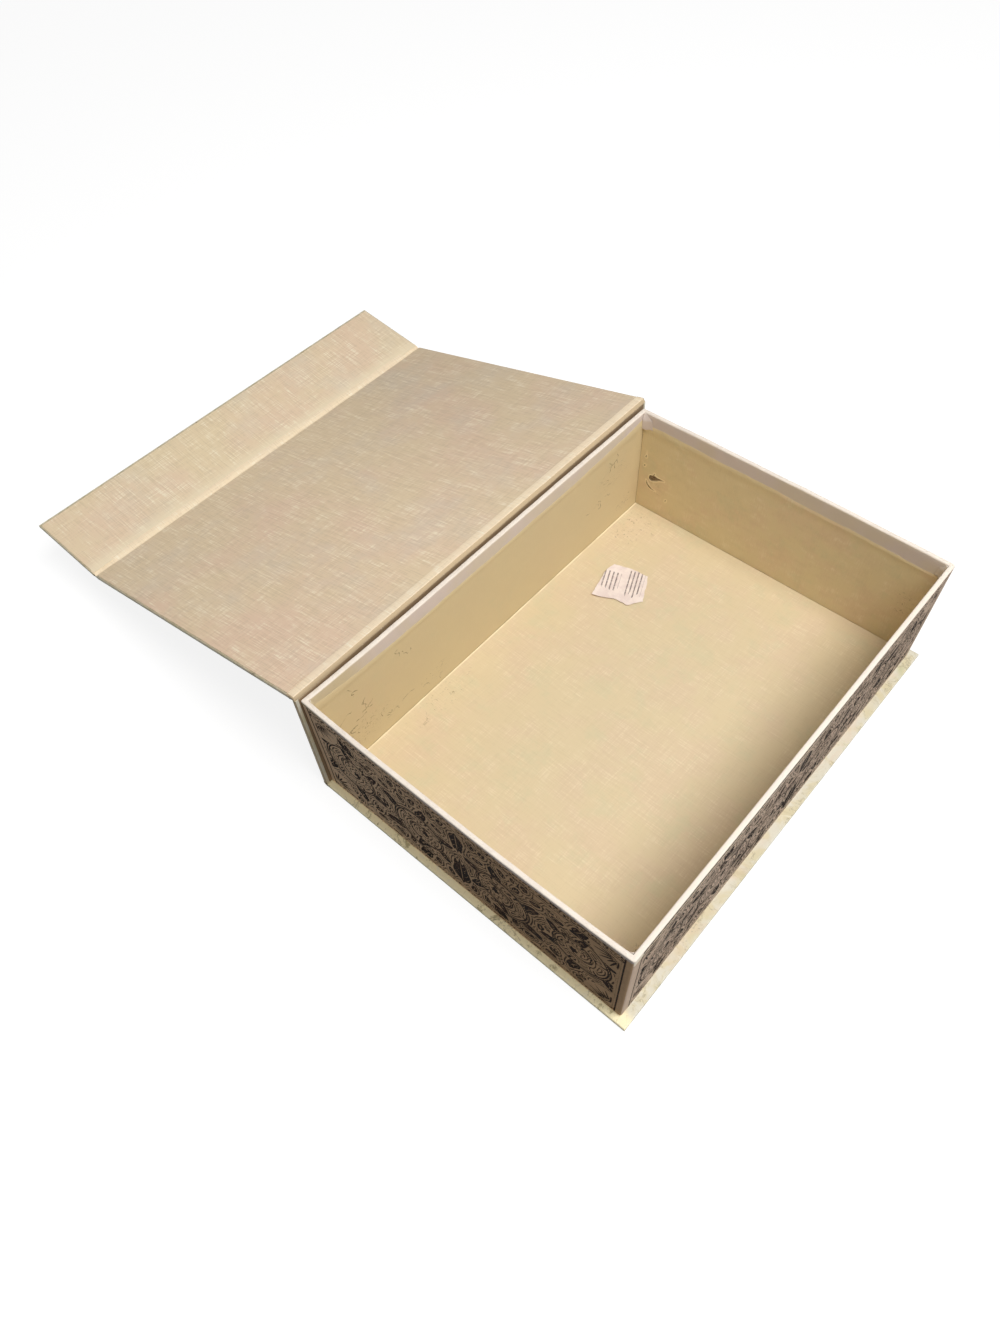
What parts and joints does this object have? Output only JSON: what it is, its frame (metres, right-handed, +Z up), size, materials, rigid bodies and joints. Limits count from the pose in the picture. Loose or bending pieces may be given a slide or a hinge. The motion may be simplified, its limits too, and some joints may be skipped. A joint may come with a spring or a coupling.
{
  "type": "photo storage box",
  "caption": "Book-style paper-covered board box: a lined tray glued into a hinged case whose lid ends in a flap that folds down over the front wall.",
  "frame": {"origin": "middle of the tray on the underside of the base", "axes": "+X from the hinge to the front, +Y along the hinge, +Z up"},
  "size_m": [0.5129, 0.3204, 0.0927],
  "materials": {
    "greyboard": "matt",
    "case_paper": "matt marbled cream paper",
    "case_lining": "linen-textured matt paper",
    "side_print": "printed satin paper",
    "tray_lining": "matt",
    "label_paper": "matt",
    "magnet": "plated"
  },
  "bodies": {
    "root": {"base_board": "greyboard", "base_cover_paper": "case_paper", "spine_board": "greyboard", "spine_cover_paper": "case_paper", "spine_liner": "case_lining", "tray_floor_board": "greyboard", "tray_wall_front": "greyboard", "tray_wall_back": "greyboard", "tray_wall_near": "greyboard", "tray_wall_far": "greyboard", "side_paper_front": "side_print", "side_paper_back": "side_print", "side_paper_near": "side_print", "side_paper_far": "side_print", "floor_liner": "tray_lining", "wall_liner_front": "tray_lining", "wall_liner_back": "tray_lining", "wall_liner_near": "tray_lining", "wall_liner_far": "tray_lining", "label_scrap": "label_paper", "front_magnets": "magnet", "lid_hinge_paper": "case_lining"},
    "lid": {"lid_board": "greyboard", "lid_cover_paper": "case_paper", "lid_liner": "case_lining", "flap_hinge_paper": "case_lining"},
    "flap": {"flap_board": "greyboard", "flap_cover_paper": "case_paper", "flap_liner": "case_lining", "flap_magnets": "magnet"}
  },
  "joints": [
    {"name": "lid_hinge", "type": "hinge", "parent": "root", "child": "lid", "pos_m": [-0.114, 0, 0.091], "axis": [0, 1, 0], "range_deg": [0, 194.6], "deforming": ["lid_hinge_paper"]},
    {"name": "flap_hinge", "type": "hinge", "parent": "lid", "child": "flap", "pos_m": [-0.33408, 0, 0.03378], "axis": [0, 1, 0], "range_deg": [-22.6, 67.4], "deforming": ["flap_hinge_paper"]}
  ]
}
